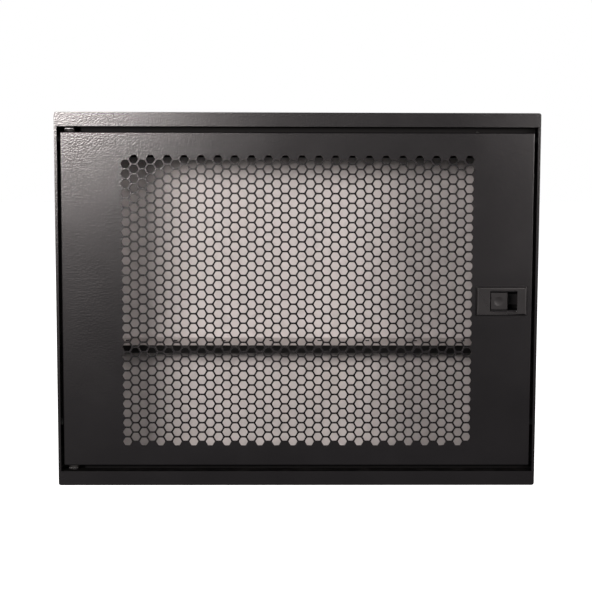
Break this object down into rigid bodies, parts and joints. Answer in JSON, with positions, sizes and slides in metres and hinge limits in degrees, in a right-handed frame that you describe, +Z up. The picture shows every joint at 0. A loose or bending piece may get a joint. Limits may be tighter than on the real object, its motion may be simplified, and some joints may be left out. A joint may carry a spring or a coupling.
{
  "type": "wall-mount network cabinet",
  "caption": "Flat wall-mounted 19-inch network cabinet with a perforated left-hinged door, slide latch, rack rails, rear shelf and cable entries.",
  "frame": {"origin": "centre of the bounding box's base, on the plane the cabinet stands on", "axes": "+X to the right seen from the front, +Y from the door to the wall, +Z up"},
  "size_m": [0.52, 0.1538, 0.405],
  "materials": {
    "body_coat": "textured satin black powder coat",
    "door_coat": "textured satin black powder coat",
    "galvanised": "matt galvanised sheet",
    "zinc": "bright zinc plate",
    "latch_plastic": "smooth black moulding",
    "housing_plastic": "matt black moulding",
    "nylon": "dark nylon",
    "rubber": "matt black rubber"
  },
  "bodies": {
    "cabinet": {"top_panel": "body_coat", "bottom_panel": "body_coat", "side_panel_left": "body_coat", "side_panel_right": "body_coat", "back_plate": "galvanised", "back_screw_lower_left": "zinc", "back_screw_middle_left": "zinc", "back_screw_upper_left": "zinc", "back_screw_lower_right": "zinc", "back_screw_middle_right": "zinc", "back_screw_upper_right": "zinc", "shelf_plate": "galvanised", "shelf_front_bar": "body_coat", "rack_rail_left": "body_coat", "rack_rail_right": "body_coat", "rail_bracket_lower_left": "body_coat", "rail_bracket_upper_left": "body_coat", "rail_bracket_lower_right": "body_coat", "rail_bracket_upper_right": "body_coat", "rail_bolt_lower_left": "zinc", "rail_bolt_upper_left": "zinc", "rail_bolt_lower_right": "zinc", "rail_bolt_upper_right": "zinc", "rail_nut_lower_left": "zinc", "rail_nut_upper_left": "zinc", "rail_nut_lower_right": "zinc", "rail_nut_upper_right": "zinc", "cable_cover_top": "body_coat", "cover_screw_left": "zinc", "cover_screw_right": "zinc", "cable_trim_bottom": "rubber", "earth_stud": "zinc", "earth_nut": "zinc", "strike_plate": "body_coat", "door_bumper_top": "rubber", "door_bumper_bottom": "rubber", "hinge_bracket_top": "body_coat", "hinge_bracket_bottom": "body_coat", "hinge_pin_top": "zinc", "hinge_pin_bottom": "zinc"},
    "door": {"door_sheet": "door_coat", "hinge_bush_top": "nylon", "hinge_bush_bottom": "nylon", "latch_bezel": "latch_plastic", "latch_housing": "housing_plastic", "latch_screw_left": "zinc", "latch_screw_right": "zinc", "latch_spring": "zinc"},
    "latch": {"latch_slider": "latch_plastic"}
  },
  "joints": [
    {"name": "door_hinge", "type": "hinge", "parent": "cabinet", "child": "door", "pos_m": [-0.244, -0.0661, 0.203], "axis": [0, 0, -1], "range_deg": [0, 115]},
    {"name": "latch_slide", "type": "slide", "parent": "door", "child": "latch", "axis": [-1, 0, 0], "range_m": [0, 0.008], "stiffness_N_per_m": 150, "springref_m": -0.01, "deforming": ["latch_spring"]}
  ]
}
